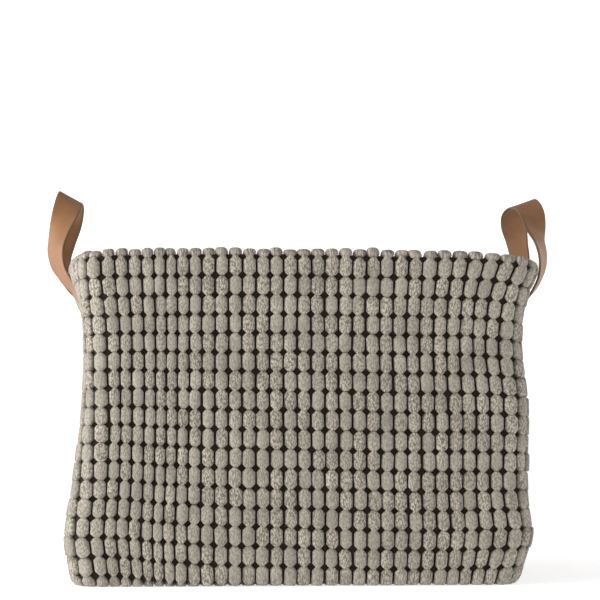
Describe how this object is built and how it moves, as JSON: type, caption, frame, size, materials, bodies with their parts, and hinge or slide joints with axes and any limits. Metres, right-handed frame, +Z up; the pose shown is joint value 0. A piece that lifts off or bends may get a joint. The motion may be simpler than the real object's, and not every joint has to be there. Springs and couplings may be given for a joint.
{
  "type": "fabric storage bin",
  "caption": "Soft rectangular storage bin of tufted pile cloth, lined and stiffened, with a leather strap handle at each end.",
  "frame": {"origin": "middle of the underside, on the surface that the bin stands on", "axes": "+Z up, +X along the long side towards the right handle, -Y towards the front"},
  "size_m": [0.4684, 0.2996, 0.3478],
  "materials": {
    "pile_cloth": "matte tufted pile",
    "lining_cloth": "matte plain weave",
    "stiffener_felt": "matte felt",
    "base_board": "matte pressed board",
    "seam_tape": "matte woven tape",
    "strap_leather": "satin vegetable-tanned leather",
    "sewing_thread": "matte thread"
  },
  "bodies": {
    "root": {"outer_wall": "pile_cloth", "outer_base": "pile_cloth", "base_seam_tape": "seam_tape", "base_board": "base_board", "lining_wall": "lining_cloth", "lining_base": "lining_cloth", "facing_thread": "sewing_thread", "front_stiffener": "stiffener_felt", "rear_stiffener": "stiffener_felt", "left_stiffener": "stiffener_felt", "right_stiffener": "stiffener_felt", "left_front_patch": "stiffener_felt", "left_strap_front_end": "strap_leather", "left_front_stitches": "sewing_thread", "left_rear_patch": "stiffener_felt", "left_strap_rear_end": "strap_leather", "left_rear_stitches": "sewing_thread", "right_front_patch": "stiffener_felt", "right_strap_front_end": "strap_leather", "right_front_stitches": "sewing_thread", "right_rear_patch": "stiffener_felt", "right_strap_rear_end": "strap_leather", "right_rear_stitches": "sewing_thread"},
    "left_handle": {"left_strap_loop": "strap_leather"},
    "right_handle": {"right_strap_loop": "strap_leather"}
  },
  "joints": [
    {"name": "left_handle_swing", "type": "hinge", "parent": "root", "child": "left_handle", "pos_m": [-0.19465, 0, 0.2305], "axis": [0, -1, 0], "range_deg": [-2, 130]},
    {"name": "right_handle_swing", "type": "hinge", "parent": "root", "child": "right_handle", "pos_m": [0.19465, 0, 0.2305], "axis": [0, 1, 0], "range_deg": [-2, 130]}
  ]
}
